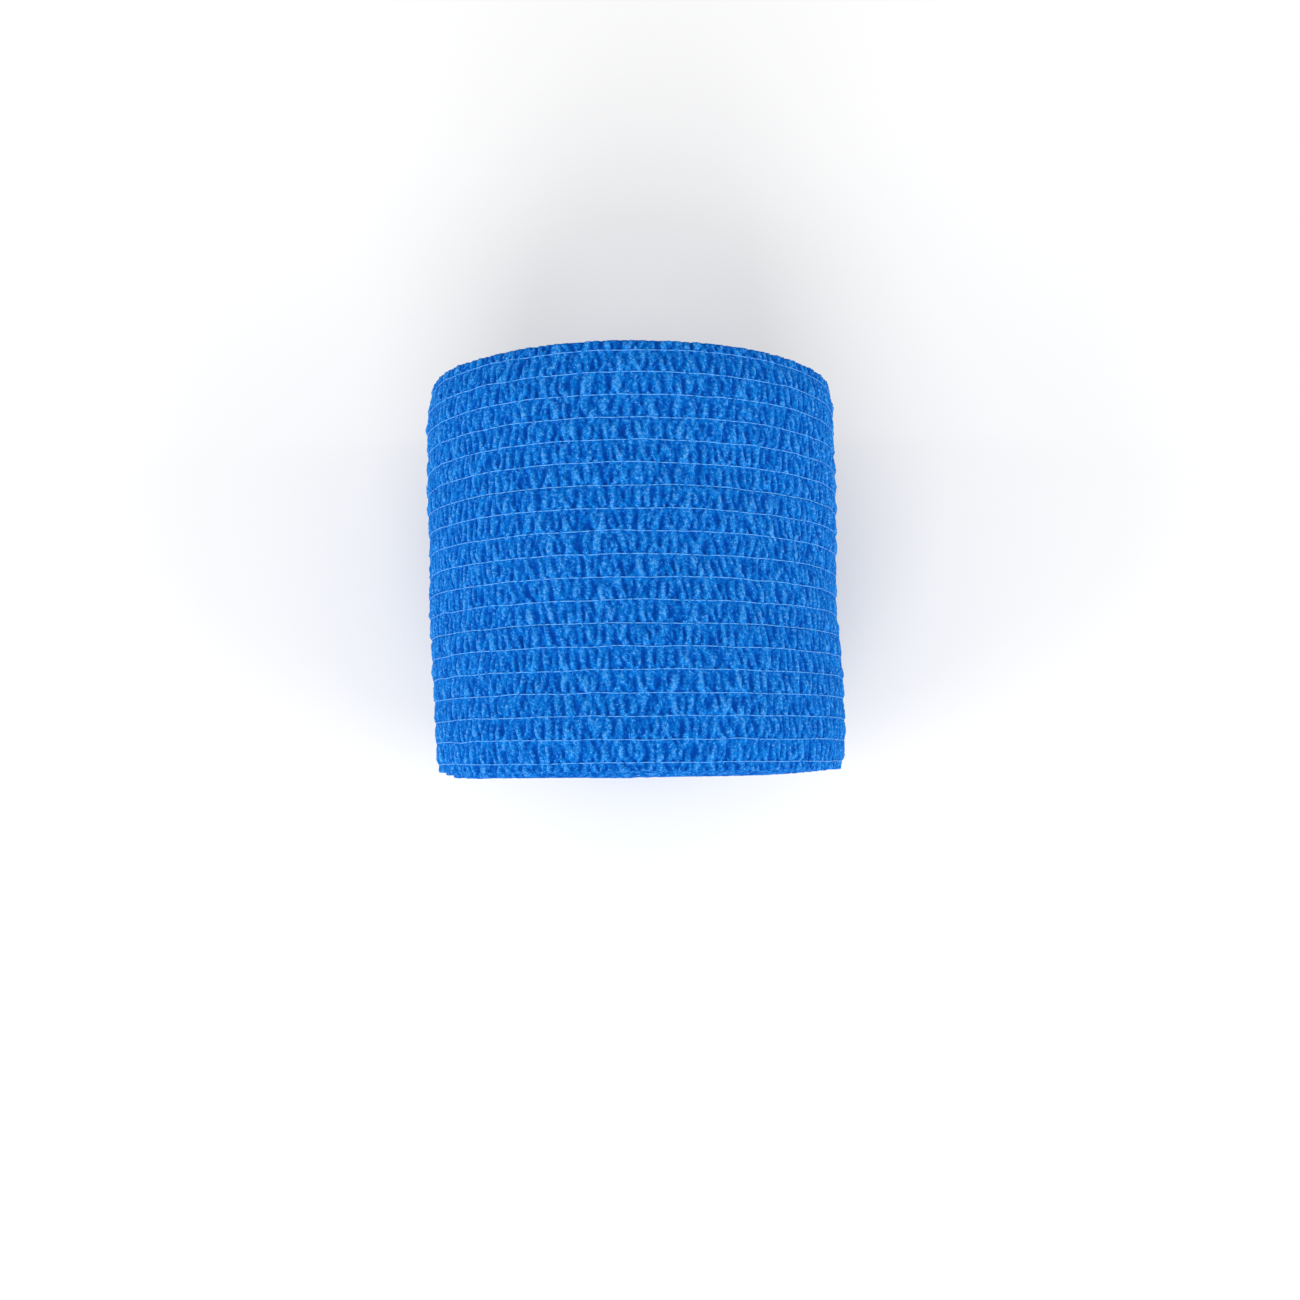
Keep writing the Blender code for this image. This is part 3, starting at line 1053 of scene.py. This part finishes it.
# %% Thread
COVERED_FROM_TO = (0.44, 0.64)
TWIST_DEPTH = 0.00002
TWIST_STRENGTH = 0.5
THREAD_ROUGHNESS = 0.45
TWIST_MORE_ROUGH = 0.20


def thread_finish():
    """Pale yarn that turns bluer where fibres cover it, with a fine twist in its surface."""
    finish = Finish("elastic_thread")
    place = finish.strip_map()
    covered = finish.ramp(finish.noise(place, scale=14.0, detail=3.0), *COVERED_FROM_TO)
    twist = finish.noise(place, scale=160.0, detail=1.0)
    return finish.surface({
        "Base Color": finish.mix(covered, THREAD_PALE, THREAD_SUNK),
        "Roughness": THREAD_ROUGHNESS + twist * TWIST_MORE_ROUGH,
        "Normal": finish.bump(twist, TWIST_DEPTH, TWIST_STRENGTH),
        "Specular IOR Level": 0.2,
    })


# %% Put the materials on
cloth_material = cloth_finish()
for piece in outer_pieces + inner_pieces:
    piece.data.materials.append(cloth_material)
threads.data.materials.append(thread_finish())
print(f"{len(cloth_material.node_tree.nodes)} nodes make the cloth's material")

# %% [markdown]
# ## Floor
#
# The roll lies on a plain pale sheet, as for a catalogue. A curved backdrop would hide the horizon,
# but the camera looks almost straight down and never sees one, so a flat square is enough. It is pale
# grey and not white, so that the soft shadow still shows under bright lights.

# %% Floor
FLOOR_SIZE = 1.6
FLOOR_GREY = (0.70, 0.70, 0.70, 1.0)
FLOOR_ROUGHNESS = 0.9

half = 0.5 * FLOOR_SIZE
floor_corners = [(-half, -half, 0), (half, -half, 0), (half, half, 0), (-half, half, 0)]
floor_mesh = bpy.data.meshes.new("floor")
floor_mesh.from_pydata(floor_corners, [], [(0, 1, 2, 3)])
floor_mesh.materials.append(
    Finish("pale_floor").surface({"Base Color": FLOOR_GREY, "Roughness": FLOOR_ROUGHNESS}))
floor = bpy.data.objects.new("floor", floor_mesh)
bpy.context.scene.collection.objects.link(floor)
print(f"a floor {FLOOR_SIZE} m square")

# %% [markdown]
# ## Lights
#
# Two large lamps stand low at the sides, so that every fold has a bright and a dark flank, and a third
# lights the near end. One small lamp would do, but its shadows would be hard and black. A pale room
# fills the valleys, and the colours are shown plainly, without a film curve that would dull the blue.

# %% Lights and room
LIGHTS = (
    {"name": "left_light", "place": (-0.60, -0.15, 0.26), "size": 0.50, "power": 3.0},
    {"name": "right_light", "place": (0.60, -0.15, 0.30), "size": 0.50, "power": 2.7},
    {"name": "front_light", "place": (-0.04, -0.50, 0.46), "size": 0.45, "power": 2.8},
)
ROOM_WHITE = (1.0, 1.0, 1.0, 1.0)
ROOM_STRENGTH = 0.80


def soft_light(name, place, size, power):
    """A square area light aimed at the roll."""
    data = bpy.data.lights.new(name, "AREA")
    data.shape = "SQUARE"
    data.size = size
    data.energy = power
    light = bpy.data.objects.new(name, data)
    light.location = place
    aim = Vector((0.0, 0.0, AXIS_HEIGHT)) - Vector(place)
    light.rotation_euler = aim.to_track_quat("-Z", "Y").to_euler()
    bpy.context.scene.collection.objects.link(light)


for row in LIGHTS:
    soft_light(**row)

world = bpy.data.worlds.new("soft_room")
bpy.context.scene.world = world
world.use_nodes = True
background = world.node_tree.nodes["Background"]
background.inputs["Color"].default_value = ROOM_WHITE
background.inputs["Strength"].default_value = ROOM_STRENGTH
bpy.context.scene.view_settings.view_transform = "Standard"
print(f"{len(LIGHTS)} lights of {sum(row['power'] for row in LIGHTS):.1f} W in all")

# %% [markdown]
# ## Camera
#
# The camera looks almost straight down, from above the roll's lower end, so the near end is seen
# edge-on. Its place and lens could be set by eye, but the roll's outline and the curves of its threads
# tell both: the curves grow stronger the closer the camera is. The lens is given by its focal length
# in pixels of the picture, which is what such curves are measured in.

# %% Camera
PICTURE_WIDTH = 1300.0
FOCAL_IN_PIXELS = 1520.0
SENSOR_IN_MM = 36.0
NEAREST_SEEN = 0.01
CAMERA_PLACE = Vector((AXIS_X + 0.00242, -0.02370, 0.22484))
CAMERA_TILT = math.radians(4.257)
CAMERA_ROLL = math.radians(0.531)


def photo_camera():
    """Look down, tilted a little towards +Y, with the picture's right turned a little towards -Y."""
    forward = Vector((0.0, math.sin(CAMERA_TILT), -math.cos(CAMERA_TILT)))
    right = Vector((1.0, 0.0, 0.0))
    down = forward.cross(right)
    turned_right = right * math.cos(CAMERA_ROLL) + down * math.sin(CAMERA_ROLL)
    turned_down = down * math.cos(CAMERA_ROLL) - right * math.sin(CAMERA_ROLL)
    data = bpy.data.cameras.new("photo_camera")
    data.sensor_width = SENSOR_IN_MM
    data.lens = SENSOR_IN_MM * FOCAL_IN_PIXELS / PICTURE_WIDTH
    data.clip_start = NEAREST_SEEN
    camera = bpy.data.objects.new("photo_camera", data)
    axes = Matrix((turned_right, -turned_down, -forward)).transposed()
    camera.matrix_world = Matrix.Translation(CAMERA_PLACE) @ axes.to_4x4()
    bpy.context.scene.collection.objects.link(camera)
    bpy.context.scene.camera = camera
    return data.lens


print(f"a lens of {photo_camera():.1f} mm")

# %% [markdown]
# ## Handing over
#
# Each piece rides on the roll's one body and names its finish. All could be joined into one object,
# but then cloth and thread could no longer be told apart. Together the cloth pieces stand for the plain
# solid, which is hidden, and the size that each was before it was wound is printed. The threads add to
# it and replace nothing.

outer_widths = (FIRST_THREAD + JOINS[0] * THREAD_SPACING,
                (JOINS[1] - JOINS[0]) * THREAD_SPACING,
                STRIP_WIDTH - FIRST_THREAD - JOINS[1] * THREAD_SPACING)
flat_sizes = [(width, OUTER_LENGTH) for width in outer_widths]
flat_sizes += [(0.5 * STRIP_WIDTH, STRIP_LENGTH - OUTER_LENGTH)] * len(inner_pieces)
for piece, flat in zip(outer_pieces + inner_pieces, flat_sizes):
    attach(piece, "root")
    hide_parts("bandage_roll")
    print(f"{piece.name}: {flat[0] * MM_PER_METRE:.2f} by {flat[1] * MM_PER_METRE:.1f} mm when flat")
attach(threads, "root")
